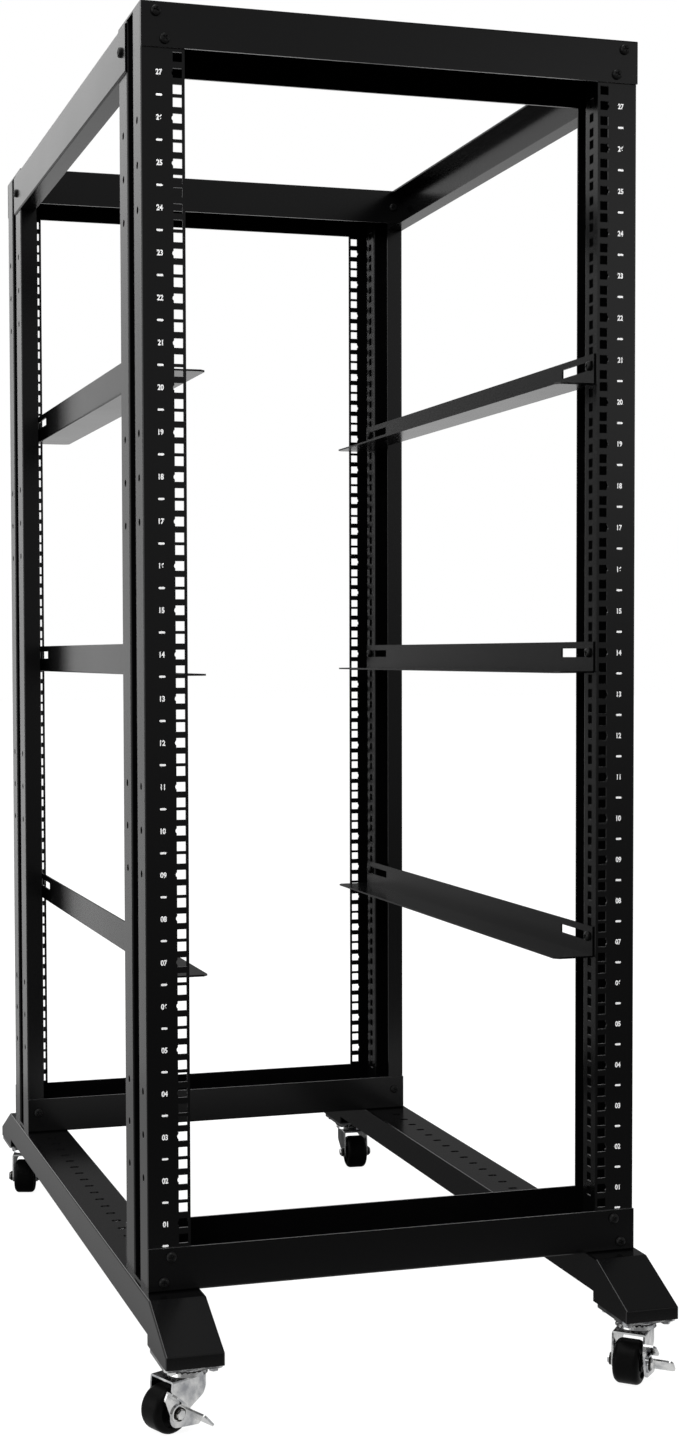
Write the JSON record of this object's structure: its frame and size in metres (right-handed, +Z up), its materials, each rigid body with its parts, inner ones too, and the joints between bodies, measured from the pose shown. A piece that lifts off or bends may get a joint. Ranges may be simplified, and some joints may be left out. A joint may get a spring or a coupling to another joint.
{
  "type": "four post open frame rack",
  "caption": "Open steel frame for rack equipment, with four punched posts, side support rails and base rails that roll on swivel casters.",
  "frame": {"origin": "on the floor, in the middle of the frame", "axes": "+X to the right seen from the front, +Y from the front to the rear, +Z up"},
  "size_m": [0.5705, 1.0138, 1.4102],
  "materials": {
    "rack_paint": "satin black powder coat",
    "zinc_plate": "bright zinc plate",
    "wheel_plastic": "smooth black moulding"
  },
  "bodies": {
    "frame": {"post_front_left": "rack_paint", "post_front_right": "rack_paint", "post_rear_left": "rack_paint", "post_rear_right": "rack_paint", "top_beam_front": "rack_paint", "top_beam_rear": "rack_paint", "bottom_beam_front": "rack_paint", "bottom_beam_rear": "rack_paint", "top_side_beam_left": "rack_paint", "top_side_beam_right": "rack_paint", "base_rail_left": "rack_paint", "base_rail_right": "rack_paint", "support_rail_left_bottom": "rack_paint", "support_rail_left_middle": "rack_paint", "support_rail_left_top": "rack_paint", "support_rail_right_bottom": "rack_paint", "support_rail_right_middle": "rack_paint", "support_rail_right_top": "rack_paint", "caster_plate_front_left": "zinc_plate", "caster_plate_front_right": "zinc_plate", "caster_plate_rear_left": "zinc_plate", "caster_plate_rear_right": "zinc_plate"},
    "swivel_front_left": {"caster_fork_front_left": "zinc_plate", "caster_axle_front_left": "zinc_plate"},
    "wheel_front_left": {"caster_wheel_front_left": "wheel_plastic"},
    "brake_front_left": {"brake_lever_front_left": "zinc_plate"},
    "swivel_front_right": {"caster_fork_front_right": "zinc_plate", "caster_axle_front_right": "zinc_plate"},
    "wheel_front_right": {"caster_wheel_front_right": "wheel_plastic"},
    "brake_front_right": {"brake_lever_front_right": "zinc_plate"},
    "swivel_rear_left": {"caster_fork_rear_left": "zinc_plate", "caster_axle_rear_left": "zinc_plate"},
    "wheel_rear_left": {"caster_wheel_rear_left": "wheel_plastic"},
    "swivel_rear_right": {"caster_fork_rear_right": "zinc_plate", "caster_axle_rear_right": "zinc_plate"},
    "wheel_rear_right": {"caster_wheel_rear_right": "wheel_plastic"}
  },
  "joints": [
    {"name": "swivel_turn_front_left", "type": "hinge", "parent": "frame", "child": "swivel_front_left", "pos_m": [-0.245, -0.4635, 0.06], "axis": [0, 0, 1], "continuous": true},
    {"name": "wheel_spin_front_left", "type": "hinge", "parent": "swivel_front_left", "child": "wheel_front_left", "pos_m": [-0.26856, -0.47449, 0.023], "axis": [0.4226, -0.9063, 0], "continuous": true},
    {"name": "brake_press_front_left", "type": "hinge", "parent": "swivel_front_left", "child": "brake_front_left", "pos_m": [-0.26856, -0.47449, 0.023], "axis": [0.4226, -0.9063, 0], "range_deg": [0, 20]},
    {"name": "swivel_turn_front_right", "type": "hinge", "parent": "frame", "child": "swivel_front_right", "pos_m": [0.245, -0.4635, 0.06], "axis": [0, 0, 1], "continuous": true},
    {"name": "wheel_spin_front_right", "type": "hinge", "parent": "swivel_front_right", "child": "wheel_front_right", "pos_m": [0.22794, -0.48312, 0.023], "axis": [0.7547, -0.6561, 0], "continuous": true},
    {"name": "brake_press_front_right", "type": "hinge", "parent": "swivel_front_right", "child": "brake_front_right", "pos_m": [0.22794, -0.48312, 0.023], "axis": [0.7547, -0.6561, 0], "range_deg": [0, 20]},
    {"name": "swivel_turn_rear_left", "type": "hinge", "parent": "frame", "child": "swivel_rear_left", "pos_m": [-0.245, 0.4635, 0.06], "axis": [0, 0, 1], "continuous": true},
    {"name": "wheel_spin_rear_left", "type": "hinge", "parent": "swivel_rear_left", "child": "wheel_rear_left", "pos_m": [-0.25217, 0.43851, 0.023], "axis": [0.9613, -0.2756, 0], "continuous": true},
    {"name": "swivel_turn_rear_right", "type": "hinge", "parent": "frame", "child": "swivel_rear_right", "pos_m": [0.245, 0.4635, 0.06], "axis": [0, 0, 1], "continuous": true},
    {"name": "wheel_spin_rear_right", "type": "hinge", "parent": "swivel_rear_right", "child": "wheel_rear_right", "pos_m": [0.24273, 0.4376, 0.023], "axis": [0.9962, -0.0872, 0], "continuous": true}
  ]
}
